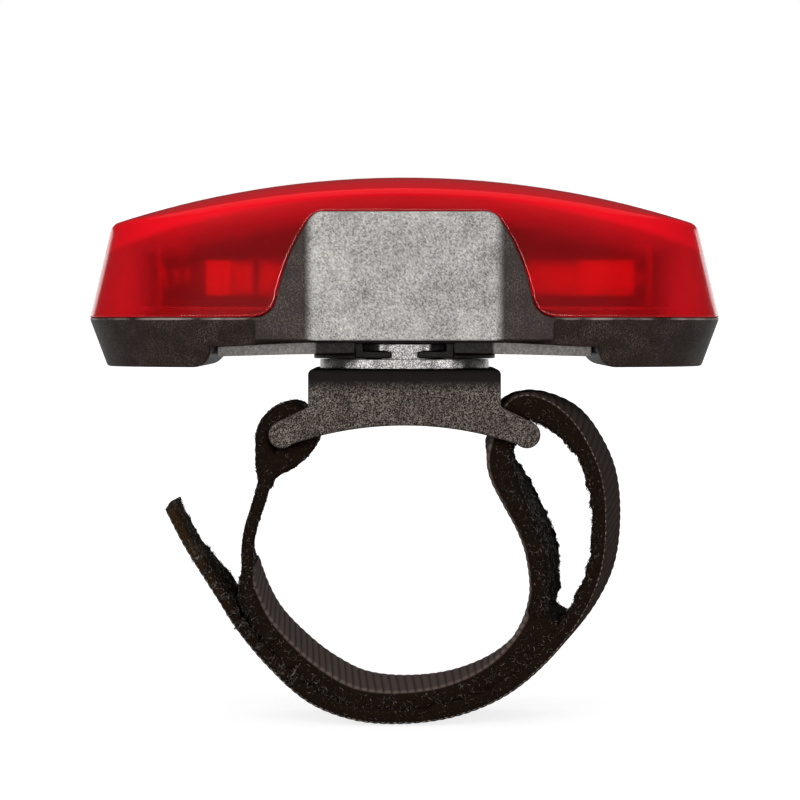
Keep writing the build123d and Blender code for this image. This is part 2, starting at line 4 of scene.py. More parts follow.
import bmesh
import bpy
import numpy as np
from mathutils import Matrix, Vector

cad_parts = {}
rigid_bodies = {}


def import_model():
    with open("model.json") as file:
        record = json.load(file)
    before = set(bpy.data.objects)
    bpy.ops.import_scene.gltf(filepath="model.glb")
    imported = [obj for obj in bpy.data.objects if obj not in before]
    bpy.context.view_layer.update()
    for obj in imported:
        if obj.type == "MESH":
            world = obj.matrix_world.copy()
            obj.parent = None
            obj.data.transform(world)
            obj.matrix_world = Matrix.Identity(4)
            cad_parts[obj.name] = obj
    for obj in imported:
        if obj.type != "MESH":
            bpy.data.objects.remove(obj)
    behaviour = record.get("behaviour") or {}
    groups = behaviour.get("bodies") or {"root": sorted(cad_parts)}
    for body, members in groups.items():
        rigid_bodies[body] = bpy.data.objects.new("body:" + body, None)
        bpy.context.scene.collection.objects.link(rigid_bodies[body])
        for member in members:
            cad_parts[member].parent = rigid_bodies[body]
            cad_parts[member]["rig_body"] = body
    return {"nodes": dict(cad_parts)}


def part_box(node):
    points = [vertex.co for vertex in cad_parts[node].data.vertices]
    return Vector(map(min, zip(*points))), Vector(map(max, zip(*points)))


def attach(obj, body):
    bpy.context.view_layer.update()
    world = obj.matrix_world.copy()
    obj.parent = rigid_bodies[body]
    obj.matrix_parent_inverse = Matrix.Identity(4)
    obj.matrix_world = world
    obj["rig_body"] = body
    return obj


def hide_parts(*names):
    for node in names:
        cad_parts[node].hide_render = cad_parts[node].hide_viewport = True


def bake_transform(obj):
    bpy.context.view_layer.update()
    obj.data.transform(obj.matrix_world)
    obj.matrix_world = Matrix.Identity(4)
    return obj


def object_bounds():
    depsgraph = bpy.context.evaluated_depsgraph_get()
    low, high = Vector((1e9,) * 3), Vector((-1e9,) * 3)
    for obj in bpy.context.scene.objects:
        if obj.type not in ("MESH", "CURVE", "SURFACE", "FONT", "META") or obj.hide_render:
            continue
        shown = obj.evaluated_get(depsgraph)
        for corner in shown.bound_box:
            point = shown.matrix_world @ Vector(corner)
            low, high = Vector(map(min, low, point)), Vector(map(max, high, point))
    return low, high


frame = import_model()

packed_low, packed_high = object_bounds()
mm = 0.001
nodes = frame["nodes"]


# Cells. Two AAA alkaline cells: a steel can in a shrunk dark sleeve with a pale stripe painted along
# each side as a highlight, and the bare nub and rim at the ends. They drop into the carrier's round bays.
def new_finish(name):
    """An empty material: its node tree and the shader that ends it."""
    material = bpy.data.materials.new(name)
    material.use_nodes = True
    return material, material.node_tree, material.node_tree.nodes["Principled BSDF"]


def feed(tree, node, inputs):
    """Gives each named input of a node its value, or links it to the socket that feeds it."""
    for name, value in inputs.items():
        if isinstance(value, bpy.types.NodeSocket):
            tree.links.new(value, node.inputs[name])
        else:
            node.inputs[name].default_value = value


def add(tree, kind, inputs=None, **settings):
    """A node of that kind with these settings, whose inputs are values or sockets."""
    made = tree.nodes.new(kind)
    for name, value in settings.items():
        setattr(made, name, value)
    feed(tree, made, inputs or {})
    return made


def place(tree, turn=(0, 0, 0), stretch=(1, 1, 1)):
    """The piece's own coordinates in metres, turned, and drawn out along each axis for a pattern."""
    source = add(tree, "ShaderNodeTexCoord").outputs["Object"]
    if turn == (0, 0, 0) and stretch == (1, 1, 1):
        return source
    inputs = {"Vector": source, "Rotation": turn, "Scale": stretch}
    return add(tree, "ShaderNodeMapping", inputs, vector_type="TEXTURE").outputs[0]


def axis_part(tree, axis):
    """One coordinate of the piece's own place, in metres."""
    return add(tree, "ShaderNodeSeparateXYZ", {"Vector": place(tree)}).outputs[axis]


def specks(tree, where, size, detail=2.0, roughness=0.5):
    """Cloudy noise from 0 to 1 whose lumps are about that many metres wide."""
    inputs = {"Vector": where, "Scale": 1 / size, "Detail": detail, "Roughness": roughness}
    return add(tree, "ShaderNodeTexNoise", inputs).outputs["Fac"]


def remap(tree, value, low, high, to_low=0.0, to_high=1.0, smooth=False):
    """Value carried from one range to another and held at its ends."""
    kind = "SMOOTHSTEP" if smooth else "LINEAR"
    inputs = {"Value": value, "From Min": low, "From Max": high, "To Min": to_low, "To Max": to_high}
    return add(tree, "ShaderNodeMapRange", inputs, interpolation_type=kind).outputs[0]


def between(tree, share, first, second):
    """Colour that goes from the first to the second as share goes from 0 to 1."""
    ends = [(*colour, 1) if isinstance(colour, tuple) else colour for colour in (first, second)]
    inputs = {0: share, 6: ends[0], 7: ends[1]}
    return add(tree, "ShaderNodeMix", inputs, data_type="RGBA").outputs[2]


def sums(tree, operation, first, second=0.0, third=0.0):
    """One arithmetic step on values."""
    return add(tree, "ShaderNodeMath", {0: first, 1: second, 2: third}, operation=operation).outputs[0]


def distance_from(tree, value, middle=0.0):
    """How far a value lies from that middle, on either side of it."""
    return sums(tree, "ABSOLUTE", sums(tree, "SUBTRACT", value, middle))


def relief(tree, height, depth):
    """Bumps whose height runs from 0 to that many metres."""
    return add(tree, "ShaderNodeBump", {"Height": height, "Distance": depth, "Strength": 1.0}).outputs[0]


def dress(name, material):
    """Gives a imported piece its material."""
    piece = nodes[name]
    piece.data.materials.clear()
    piece.data.materials.append(material)
    return piece


def cell_finish():
    """A dark sleeve with a pale stripe painted at half height as a highlight, two thin dark rings across
    the stripe, and bare steel past the sleeve's ends."""
    low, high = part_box("battery_near")
    middle = (low.z + high.z) / 2
    stripe_half = 1.7 * mm
    stripe_blur = 0.25 * mm
    ring_spots = (-19.2 * mm, -15.0 * mm)
    ring_half = 0.3 * mm
    sleeve_end = 23.6 * mm
    blur = 0.1 * mm
    material, tree, shader = new_finish("cell sleeve")
    off_middle = distance_from(tree, axis_part(tree, "Z"), middle)
    # The stripe is a painted highlight: pale along the cells' half height, on the sides that face out.
    stripe = remap(tree, off_middle, stripe_half, stripe_half + stripe_blur, 1.0, 0.0, smooth=True)
    for spot in ring_spots:
        off_ring = distance_from(tree, axis_part(tree, "X"), spot)
        stripe = sums(tree, "MULTIPLY", stripe, remap(tree, off_ring, ring_half, ring_half + blur))
    wear = specks(tree, place(tree), 2.5 * mm)
    pale = between(tree, wear, (0.86, 0.86, 0.84), (0.94, 0.94, 0.92))
    banded = between(tree, stripe, (0.03, 0.028, 0.03), pale)
    bare = remap(tree, distance_from(tree, axis_part(tree, "X")), sleeve_end, sleeve_end + blur)
    feed(tree, shader, {
        "Base Color": between(tree, bare, banded, (0.62, 0.61, 0.58)),
        "Metallic": bare,
        "Roughness": remap(tree, wear, 0.3, 0.7, 0.4, 0.52),
        "Normal": relief(tree, wear, 0.02 * mm),
    })
    return material


sleeve = cell_finish()
dress("battery_near", sleeve)
dress("battery_far", sleeve)


# Cell springs. Each is a cone of hard nickelled wire, wide end against the carrier's wall, small
# end on the cell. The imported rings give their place; the coils here are what the spring really is.
def tube(line, radius, sides):
    """Round tube on a line of points: at each point a ring is laid square to the line's own
    direction, its first axis turned from ring to ring as little as it can be, and both ends closed.
    The first ring is turned by a skew direction, which a line mustn't start along."""
    skew = (0.31, 0.57, 0.76)
    step = np.gradient(line, axis=0)
    along = step / np.linalg.norm(step, axis=1, keepdims=True)
    first = np.empty_like(along)
    guess = np.cross(along[0], skew)
    for index, direction in enumerate(along):
        guess = guess - direction * (guess @ direction)
        guess = guess / np.linalg.norm(guess)
        first[index] = guess
    second = np.cross(along, first)
    angle = np.arange(sides) / sides * 2 * pi
    ring = np.cos(angle)[None, :, None] * first[:, None] + np.sin(angle)[None, :, None] * second[:, None]
    return closed_grid((line[:, None] + ring * radius).reshape(-1, 3), len(line), sides)


def closed_grid(points, rows, columns):
    """Faces of a tube-like grid: four-sided between its rings and one many-sided face at each end."""
    index = np.arange(rows * columns).reshape(rows, columns)
    beside = np.roll(index, -1, axis=1)
    quads = np.stack([index[:-1], beside[:-1], beside[1:], index[1:]], -1).reshape(-1, 4)
    faces = quads.tolist() + [index[0, ::-1].tolist(), index[-1].tolist()]
    return points, faces


def piece_from(name, parts, material, sharp=40):
    """One object from one or more sets of points and faces, smooth but for edges over that angle."""
    points = []
    faces = []
    for part_points, part_faces in parts:
        start = sum(len(block) for block in points)
        points.append(part_points)
        faces += [[start + corner for corner in face] for face in part_faces]
    mesh = bpy.data.meshes.new(name)
    mesh.from_pydata(np.concatenate(points).tolist(), [], faces)
    mesh.shade_smooth()
    mesh.set_sharp_from_angle(angle=radians(sharp))
    mesh.materials.append(material)
    piece = bpy.data.objects.new(name, mesh)
    bpy.context.scene.collection.objects.link(piece)
    return piece


def plated_finish():
    """Bright nickel, a little hazy in patches."""
    material, tree, shader = new_finish("nickel plate")
    haze = specks(tree, place(tree), 0.8 * mm, 3.0)
    feed(tree, shader, {
        "Base Color": between(tree, haze, (0.52, 0.5, 0.46), (0.68, 0.66, 0.61)),
        "Metallic": 1.0,
        "Roughness": remap(tree, haze, 0.3, 0.7, 0.2, 0.42),
        "Normal": relief(tree, haze, 0.01 * mm),
    })
    return material


def spring_coil(side):
    """Cone of wire: the angle runs on while the radius shrinks and the coil climbs off the wall. For
    a share of the wire at each end the coil stays flat."""
    low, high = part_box("battery_springs")
    wire = 0.28 * mm
    turns = 4.25
    wide = 2.9 * mm
    narrow = 1.9 * mm
    free_length = 4.3 * mm
    cell_offset = 5.35 * mm
    flat_share = 0.12
    rings = 220
    wall = high.x if side > 0 else low.x
    centre_z = (low.z + high.z) / 2
    share = np.linspace(0, 1, rings)
    climb = np.clip((share - flat_share) / (1 - 2 * flat_share), 0, 1)
    radius = wide + (narrow - wide) * climb
    angle = share * turns * 2 * pi
    x = wall - side * (wire + climb * (free_length - 2 * wire))
    y = side * cell_offset + radius * np.cos(angle)
    z = centre_z + radius * np.sin(angle)
    return tube(np.stack([x, y, z], 1), wire, 8)


plating = plated_finish()
springs = piece_from("cell_spring_coils", [spring_coil(-1), spring_coil(1)], plating)
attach(springs, "head")
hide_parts("battery_springs")
for contact in ("contact_link", "contact_positive", "contact_negative"):
    dress(contact, plating)


# Carrier. A black glass-filled nylon moulding that holds both cells, its contacts and the board's
# posts, with a pale strip painted as a highlight along both long walls. It lies loose on the housing's
# floor and is kept down by the lens.
def moulded_finish(name, dark, light, grain_size, grain_depth, painted_shadow_from=1.0):
    """Black plastic from an etch-textured mould: lumps of grain whose tops are painted pale as glints.
    They fade out just below the painted shadow's level, and above it the plastic is painted dark as shade."""
    fade = 1.3 * mm
    material, tree, shader = new_finish(name)
    where = place(tree)
    grain = specks(tree, where, grain_size, 4.0, 0.75)
    cloud = specks(tree, where, 2.2 * mm, 4.0, 0.6)
    crest = remap(tree, grain, 0.46, 0.76)
    # Painted shadow: above this level the glints are gone and the plastic is painted dark as shade.
    clear_of_painted_shadow = remap(tree, axis_part(tree, "Z"), painted_shadow_from - fade, painted_shadow_from, 1.0, 0.0)
    tone = sums(tree, "MULTIPLY", crest, remap(tree, cloud, 0.38, 0.62, 0.65, 1.0))
    tone = sums(tree, "MULTIPLY", tone, clear_of_painted_shadow)
    feed(tree, shader, {
        "Base Color": between(tree, tone, dark, light),
        "Roughness": remap(tree, grain, 0.35, 0.7, 0.58, 0.4),
        "Specular IOR Level": 0.12,
        "Normal": relief(tree, grain, grain_depth),
    })
    return material


def carrier_finish():
    """The nylon, with a pale strip painted as a highlight at the cells' half height on the outside of both
    walls.
    """
    low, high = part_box("battery_near")
    middle = (low.z + high.z) / 2
    strip_half = 1.7 * mm
    strip_end = 23.4 * mm
    wall_depth = 6 * mm
    wall_blur = 0.05 * mm
    blur = 0.1 * mm
    dark = (0.012, 0.007, 0.006)
    light = (0.04, 0.03, 0.026)
    material = moulded_finish("carrier nylon", dark, light, 0.25 * mm, 0.02 * mm)
    tree = material.node_tree
    shader = tree.nodes["Principled BSDF"]
    nylon = shader.inputs["Base Color"].links[0].from_socket
    rise = distance_from(tree, axis_part(tree, "Z"), middle)
    reach = distance_from(tree, axis_part(tree, "X"))
    depth = distance_from(tree, axis_part(tree, "Y"))
    strip = remap(tree, rise, strip_half, strip_half + blur, 1.0, 0.0)
    strip = sums(tree, "MULTIPLY", strip, remap(tree, reach, strip_end, strip_end + blur, 1.0, 0.0))
    strip = sums(tree, "MULTIPLY", strip, remap(tree, depth, wall_depth, wall_depth + wall_blur))
    # The painted highlight's pale colour, a little cloudy.
    paper = between(tree, specks(tree, place(tree), 1.5 * mm), (0.92, 0.92, 0.9), (0.97, 0.97, 0.95))
    feed(tree, shader, {"Base Color": between(tree, strip, nylon, paper)})
    return material


dress("battery_cradle", carrier_finish())


# Board, diodes and reflector. A glass-fibre board under a green mask carries three diodes, each a
# pale ceramic case with a round recess. A moulded reflector plate, with a window for each diode,
# clips over the board.
def board_finish():
    """Green mask that shows the weave under it, drawn out along Y."""
    material, tree, shader = new_finish("solder mask")
    weave = specks(tree, place(tree, stretch=(1, 3, 1)), 0.4 * mm)
    feed(tree, shader, {
        "Base Color": between(tree, weave, (0.015, 0.09, 0.04), (0.03, 0.14, 0.06)),
        "Roughness": 0.34,
        "Coat Weight": 0.4,
        "Normal": relief(tree, weave, 0.01 * mm),
    })
    return material


def ceramic_finish():
    """Amber up to the recess's floor, and pale ceramic from there to the top."""
    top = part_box("leds")[1].z
    amber_level = top - 0.38 * mm
    ceramic_level = top - 0.3 * mm
    material, tree, shader = new_finish("diode ceramic")
    ceramic = remap(tree, axis_part(tree, "Z"), amber_level, ceramic_level)
    body = between(tree, specks(tree, place(tree), 0.3 * mm), (0.8, 0.79, 0.75), (0.9, 0.89, 0.86))
    feed(tree, shader, {
        "Base Color": between(tree, ceramic, (0.9, 0.55, 0.3), body),
        "Roughness": 0.4,
        "Subsurface Weight": 0.2,
        "Subsurface Radius": (0.3 * mm, 0.3 * mm, 0.3 * mm),
    })
    return material


def reflector_finish():
    """Pale plastic with flow marks drawn out along X."""
    material, tree, shader = new_finish("reflector white")
    flow = specks(tree, place(tree, stretch=(3, 1, 1)), 1.2 * mm)
    feed(tree, shader, {
        "Base Color": between(tree, flow, (0.5, 0.5, 0.5), (0.62, 0.62, 0.61)),
        "Roughness": remap(tree, flow, 0.3, 0.7, 0.22, 0.34),
        "Normal": relief(tree, flow, 0.01 * mm),
    })
    return material


green_mask = board_finish()
dress("led_board", green_mask)
dress("leds", ceramic_finish())
dress("reflector", reflector_finish())


# Switch and button. A tact switch on its own small board stands inside the far boss; a black
# elastomer button fills the oval opening and pushes the switch's plunger.
def rubber_finish():
    """Dull black elastomer with a fine grain."""
    material, tree, shader = new_finish("button elastomer")
    grain = specks(tree, place(tree), 0.18 * mm, 3.0)
    feed(tree, shader, {
        "Base Color": between(tree, grain, (0.018, 0.014, 0.013), (0.04, 0.034, 0.031)),
        "Roughness": 0.62,
        "Specular IOR Level": 0.35,
        "Sheen Weight": 0.08,
        "Normal": relief(tree, grain, 0.012 * mm),
    })
    return material


def switch_finish():
    """Plain black plastic."""
    material, tree, shader = new_finish("switch moulding")
    grain = specks(tree, place(tree), 0.3 * mm)
    feed(tree, shader, {
        "Base Color": between(tree, grain, (0.02, 0.02, 0.022), (0.045, 0.045, 0.05)),
        "Roughness": 0.45,
        "Normal": relief(tree, grain, 0.01 * mm),
    })
    return material


switch_plastic = switch_finish()
dress("switch_board", green_mask)
dress("switch_body", switch_plastic)
dress("switch_plunger", switch_plastic)
dress("power_button", rubber_finish())


# Housing. The lower shell, moulded in black polycarbonate with an etch-textured grain: two feet, an
# arched floor and a raised boss on each long side, whose brushed flat face has a pale painted sheen.
def softened(name, width, finish, segments=2):
    """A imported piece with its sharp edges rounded: a copy is welded into one skin, neighbouring
    faces that are almost level are made one, slivers are dropped, and a bevel of that width runs
    along every sharp edge. The shading follows the large faces, so they look flat up to the bevel."""
    weld_gap = 0.0001 * mm
    level_angle = radians(0.8)
    sliver = 0.02 * mm
    sharp_angle = radians(28)
    source = nodes[name]
    mesh = source.data.copy()
    form = bmesh.new()
    form.from_mesh(mesh)
    bmesh.ops.remove_doubles(form, verts=form.verts, dist=weld_gap)
    bmesh.ops.dissolve_limit(form, angle_limit=level_angle, verts=form.verts, edges=form.edges)
    bmesh.ops.dissolve_degenerate(form, dist=sliver, edges=form.edges)
    form.to_mesh(mesh)
    form.free()
    mesh.shade_smooth()
    mesh.materials.clear()
    mesh.materials.append(finish)
    piece = bpy.data.objects.new(name + "_shell", mesh)
    bpy.context.scene.collection.objects.link(piece)
    bevel = piece.modifiers.new("edge rounding", "BEVEL")
    bevel.width = width
    bevel.segments = segments
    bevel.limit_method = "ANGLE"
    bevel.angle_limit = sharp_angle
    bevel.use_clamp_overlap = False
    facing = piece.modifiers.new("large faces lead", "WEIGHTED_NORMAL")
    facing.mode = "FACE_AREA"
    facing.weight = 100
    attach(piece, source["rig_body"])
    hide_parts(name)
    return piece


def housing_finish():
    """Black plastic with paler patches of grain. The bosses' flats get a pale painted sheen of slanted
    strokes and fine grain, and a thin painted highlight runs at the rim's level, clear of the bosses."""
    flat_start = 17.7 * mm
    flat_full = 17.99 * mm
    stroke_slant = radians(-42)
    stroke_draw = 5
    stroke_share = 0.3
    cloud_share = 0.15
    rim_level = 10.88 * mm
    rim_full = 0.02 * mm
    rim_gone = 0.13 * mm
    boss_end = 15 * mm
    boss_blur = 0.5 * mm
    material, tree, shader = new_finish("housing plastic")
    where = place(tree)
    grain = specks(tree, where, 0.14 * mm, 3.0, 0.7)
    cloud = specks(tree, where, 2.6 * mm, 3.0)
    crest = remap(tree, grain, 0.46, 0.72)
    patch = sums(tree, "MULTIPLY", crest, remap(tree, cloud, 0.4, 0.62, 0.3, 0.9))
    dark = between(tree, patch, (0.013, 0.005, 0.003), (0.16, 0.12, 0.105))
    off_rim = distance_from(tree, axis_part(tree, "Z"), rim_level)
    off_boss = distance_from(tree, axis_part(tree, "X"))
    # A painted highlight: a thin pale line along the rim's edge, broken by the cloud, clear of the bosses.
    rim = remap(tree, off_rim, rim_full, rim_gone, 1.0, 0.0)
    rim = sums(tree, "MULTIPLY", rim, remap(tree, cloud, 0.4, 0.6))
    rim = sums(tree, "MULTIPLY", rim, remap(tree, off_boss, boss_end - boss_blur, boss_end + boss_blur))
    rim_highlighted = between(tree, rim, dark, (0.36, 0.31, 0.29))
    brushed = place(tree, turn=(0, stroke_slant, 0), stretch=(1, 1, stroke_draw))
    strokes = specks(tree, brushed, 0.09 * mm, 3.0, 0.6)
    fine = specks(tree, where, 0.16 * mm, 5.0, 0.85)
    broad = specks(tree, where, 3.2 * mm, 3.0, 0.6)
    fine_part = sums(tree, "MULTIPLY", fine, 1 - stroke_share)
    tone = sums(tree, "MULTIPLY_ADD", strokes, stroke_share, fine_part)
    tone = sums(tree, "MULTIPLY_ADD", sums(tree, "SUBTRACT", broad, 0.5), cloud_share, tone)
    # Painted sheen on the bosses' flats: the strokes and the fine grain pick out a pale colour.
    pale = between(tree, remap(tree, tone, 0.4, 0.61), (0.08, 0.072, 0.066), (0.78, 0.75, 0.72))
    face = remap(tree, distance_from(tree, axis_part(tree, "Y")), flat_start, flat_full, smooth=True)
    flat_sheen = sums(tree, "MULTIPLY", face, remap(tree, cloud, 0.3, 0.6, 0.86, 1.0))
    bumps = sums(tree, "ADD", grain, sums(tree, "MULTIPLY", strokes, face))
    feed(tree, shader, {
        "Base Color": between(tree, flat_sheen, rim_highlighted, pale),
        "Roughness": remap(tree, grain, 0.35, 0.7, 0.46, 0.3),
        "Specular IOR Level": 0.3,
        "Normal": relief(tree, bumps, 0.02 * mm),
    })
    return material


softened("housing", 0.22 * mm, housing_finish())


# Seals. Two strips of grey silicone, each laid in the housing's rim round one end of it, from boss
# to boss, where the lens presses on them.
def seal_finish():
    """Grey silicone with a faint bloom."""
    material, tree, shader = new_finish("silicone")
    bloom = specks(tree, place(tree), 0.6 * mm)
    feed(tree, shader, {
        "Base Color": between(tree, bloom, (0.16, 0.15, 0.15), (0.26, 0.25, 0.24)),
        "Roughness": 0.55,
        "Normal": relief(tree, bloom, 0.01 * mm),
    })
    return material


dress("lens_seals", seal_finish())


# Lens. A crowned cap injection moulded in red acrylic, polished outside and frosted inside so that
# the diodes' light spreads, and milkier towards its crown and ends. It snaps over the housing's rim
# and is cut out round both bosses.
def lens_finish():
    """Clear red whose milk thickens upwards and towards both ends. Heights are read under the crown:
    X squared times crown_fall is added to Z. Along the crown itself the red is purer, and least
    light goes through."""
    crown_fall = 6.1
    milk_from = 19.5 * mm
    milk_full = 24.4 * mm
    crown_from = 22.3 * mm
    crown_full = 24 * mm
    end_from = 24 * mm
    end_full = 29 * mm
    clearest = 0.9
    milk_roughness = 0.15
    material, tree, shader = new_finish("red acrylic")
    where = place(tree)
    x = axis_part(tree, "X")
    x_squared = sums(tree, "MULTIPLY", x, x)
    under_crown = sums(tree, "MULTIPLY_ADD", x_squared, crown_fall, axis_part(tree, "Z"))
    upper = remap(tree, under_crown, milk_from, milk_full, smooth=True)
    crown = remap(tree, under_crown, crown_from, crown_full, smooth=True)
    ends = remap(tree, distance_from(tree, x), end_from, end_full, smooth=True)
    milk = sums(tree, "MAXIMUM", upper, ends)
    outside = add(tree, "ShaderNodeAttribute", attribute_name="outside").outputs["Fac"]
    cloud = specks(tree, where, 6 * mm, 2.0)
    frost = specks(tree, where, 0.35 * mm, 3.0, 0.7)
    frosted = remap(tree, outside, 0.3, 0.7, 0.38, 0.08)
    wall = between(tree, cloud, (0.81, 0.009, 0.017), (0.87, 0.012, 0.023))
    through_milk = remap(tree, milk, 0.0, 1.0, clearest, 0.46)
    through_crown = remap(tree, crown, 0.0, 1.0, clearest, 0.15)
    feed(tree, shader, {
        "Base Color": between(tree, crown, wall, (0.98, 0.007, 0.017)),
        "Roughness": sums(tree, "MAXIMUM", frosted, sums(tree, "MULTIPLY", milk, milk_roughness)),
        "IOR": 1.49,
        "Specular IOR Level": 0.06,
        "Transmission Weight": sums(tree, "MINIMUM", through_milk, through_crown),
        "Normal": relief(tree, frost, 0.004 * mm),
    })
    return material


# A face is outside where it looks away from a point inside the cap, a little above its foot.
lens = softened("lens", 0.2 * mm, lens_finish(), segments=3)
lens_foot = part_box("lens")[0].z
lens_heart = Vector((0, 0, lens_foot + 2 * mm))
looks_out = [float(face.normal.dot(face.center - lens_heart) > 0) for face in lens.data.polygons]
outside_share = lens.data.attributes.new("outside", "FLOAT", "FACE")
outside_share.data.foreach_set("value", looks_out)


# Back plate. A flat plate with the swivel's round socket moulded on it, in black plastic like the
# housing, held under the floor by two countersunk screws.
def plate_finish():
    """Black plastic whose long edges are painted pale as a highlight, clear of the socket."""
    edge_start = 7.3 * mm
    edge_full = 7.48 * mm
    socket_radius = 9.0 * mm
    socket_blur = 0.3 * mm
    material, tree, shader = new_finish("plate plastic")
    grain = specks(tree, place(tree), 0.2 * mm, 3.0, 0.7)
    edge = remap(tree, distance_from(tree, axis_part(tree, "Y")), edge_start, edge_full)
    reach = distance_from(tree, axis_part(tree, "X"))
    off_socket = remap(tree, reach, socket_radius, socket_radius + socket_blur)
    dark = between(tree, remap(tree, grain, 0.5, 0.75), (0.02, 0.012, 0.009), (0.09, 0.07, 0.06))
    # Painted highlight: the long edges take this pale colour.
    pale = between(tree, remap(tree, grain, 0.35, 0.65), (0.42, 0.38, 0.36), (0.85, 0.8, 0.77))
    feed(tree, shader, {
        "Base Color": between(tree, sums(tree, "MULTIPLY", edge, off_socket), dark, pale),
        "Roughness": remap(tree, grain, 0.35, 0.7, 0.42, 0.28),
        "Specular IOR Level": 0.4,
        "Normal": relief(tree, grain, 0.015 * mm),
    })
    return material


softened("back_plate", 0.12 * mm, plate_finish())


# Screws. Two countersunk plate screws, and the headed screw that holds the hub from the saddle's
# side, all of zinc-plated steel.
def screw_finish():
    """Grey zinc, hazy in patches."""
    material, tree, shader = new_finish("zinc plate")
    haze = specks(tree, place(tree), 0.5 * mm, 3.0)
    feed(tree, shader, {
        "Base Color": between(tree, haze, (0.42, 0.42, 0.43), (0.6, 0.6, 0.6)),
        "Metallic": 1.0,
        "Roughness": remap(tree, haze, 0.3, 0.7, 0.22, 0.4),
        "Normal": relief(tree, haze, 0.008 * mm),
    })
    return material


zinc = screw_finish()
dress("plate_screws", zinc)
dress("hub_screw", zinc)


# Swivel hub. A disc with a headed post, made in one piece with a bright plated skin: the disc lies
# on the bracket and the post snaps into the plate's socket. Its rim is finely gritted and shines.
def hub_finish():
    """Bright plating with thin lines round the rim and a grit of dark specks."""
    material, tree, shader = new_finish("plated hub")
    turning = specks(tree, place(tree, stretch=(4, 4, 1)), 0.12 * mm, 2.0)
    grit = specks(tree, place(tree), 0.16 * mm, 2.0, 0.7)
    feed(tree, shader, {
        "Base Color": between(tree, remap(tree, grit, 0.4, 0.6), (0.15, 0.14, 0.135), (0.58, 0.56, 0.55)),
        "Metallic": 0.92,
        "Roughness": remap(tree, turning, 0.35, 0.65, 0.16, 0.24),
        "Normal": relief(tree, sums(tree, "ADD", turning, grit), 0.002 * mm),
    })
    return material


dress("swivel_hub", hub_finish())


# Bracket. One nylon moulding: an arched saddle that lies on a helmet's rib or a tube, with a round
# bar at each end for the strap. Its grain is coarse, with small glints painted pale on its crests, and
# along its top a dark band is painted as the shadow that the head casts.
# The head's shadow on the saddle's top is painted dark from this level up.
painted_shadow_level = 4.6 * mm
saddle_dark = (0.004, 0.0015, 0.0008)
saddle_glint = (0.6, 0.5, 0.44)
saddle_nylon = moulded_finish("saddle nylon", saddle_dark, saddle_glint, 0.13 * mm, 0.03 * mm, painted_shadow_level)
softened("bracket", 0.25 * mm, saddle_nylon, segments=3)


# Strap. Hook-and-loop tape: a ribbed woven back with a loop pile, and a hook side sewn on at the
# end. It is welded round the left bar, passes round the helmet and through the right slot, and
# folds back on itself so that the hooks meet the pile.
tape_width = 16 * mm


def smooth_line(route, spacing):
    """Points at even steps on a curve through the route's points, in X and Z. Between two points the
    curve is a cubic whose slope at each is half the step between that point's neighbours."""
    points_between = 24
    points = np.array(route) * mm
    first = 2 * points[:1] - points[1:2]
    last = 2 * points[-1:] - points[-2:-1]
    around = np.concatenate([first, points, last])
    share = np.linspace(0, 1, points_between + 1)[:-1, None, None]
    before, start, end, after = around[:-3], around[1:-2], around[2:-1], around[3:]
    curve = 0.5 * (
        2 * start
        + share * (end - before)
        + share**2 * (2 * before - 5 * start + 4 * end - after)
        + share**3 * (3 * start - before - 3 * end + after)
    )
    line = np.concatenate([curve.transpose(1, 0, 2).reshape(-1, 2), points[-1:]])
    travelled = np.concatenate([[0], np.cumsum(np.linalg.norm(np.diff(line, axis=0), axis=1))])
    steps = np.linspace(0, travelled[-1], int(travelled[-1] / spacing) + 1)
    return np.stack([np.interp(steps, travelled, line[:, axis]) for axis in (0, 1)], 1), steps


def unevenness(u, v, lump, seed):
    """Smooth random heights from -1 to 1: random values at the crossings of a square lattice whose
    cells are that wide, eased from one to the next."""
    lattice = 256
    rng = np.random.default_rng(seed)
    heights = rng.uniform(-1, 1, (lattice, lattice))
    a = u / lump
    b = v / lump
    column = np.floor(a).astype(int)
    row = np.floor(b).astype(int)
    across = a - column
    up = b - row
    across = across * across * (3 - 2 * across)
    up = up * up * (3 - 2 * up)
    corner = [[heights[(column + i) % lattice, (row + j) % lattice] for j in (0, 1)] for i in (0, 1)]
    low = corner[0][0] * (1 - across) + corner[1][0] * across
    high = corner[0][1] * (1 - across) + corner[1][1] * across
    return low * (1 - up) + high * up


def section(thickness):
    """Outline across a tape: two long faces and two short sides joined by four quarter circles.
    Its rows are the place across the thickness and the width, then the outward direction in both."""
    face_points = 44
    side_points = 4
    corner_points = 5
    corner_share = 0.32
    corner = thickness * corner_share
    run = np.linspace(-1, 1, face_points)[1:-1] * (tape_width / 2 - corner)
    rise = np.linspace(-1, 1, side_points)[1:-1] * (thickness / 2 - corner)
    faces = [
        (rise[::-1], tape_width / 2 + 0 * rise, 0, 1),
        (-thickness / 2 + 0 * run, run[::-1], -1, 0),
        (rise, -tape_width / 2 + 0 * rise, 0, -1),
        (thickness / 2 + 0 * run, run, 1, 0),
    ]
    parts = []
    for number, (face_w, face_v, out_w, out_v) in enumerate(faces):
        angle = pi / 2 * number + np.linspace(0, pi / 2, corner_points)
        normal_w = np.cos(angle)
        normal_v = np.sin(angle)
        centre_w = (thickness / 2 - corner) * (1 if number in (0, 3) else -1)
        centre_v = (tape_width / 2 - corner) * (1 if number in (0, 1) else -1)
        parts.append([centre_w + corner * normal_w, centre_v + corner * normal_v, normal_w, normal_v])
        parts.append([face_w, face_v, out_w + 0 * face_w, out_v + 0 * face_v])
    return np.concatenate([np.array(part) for part in parts], axis=1)


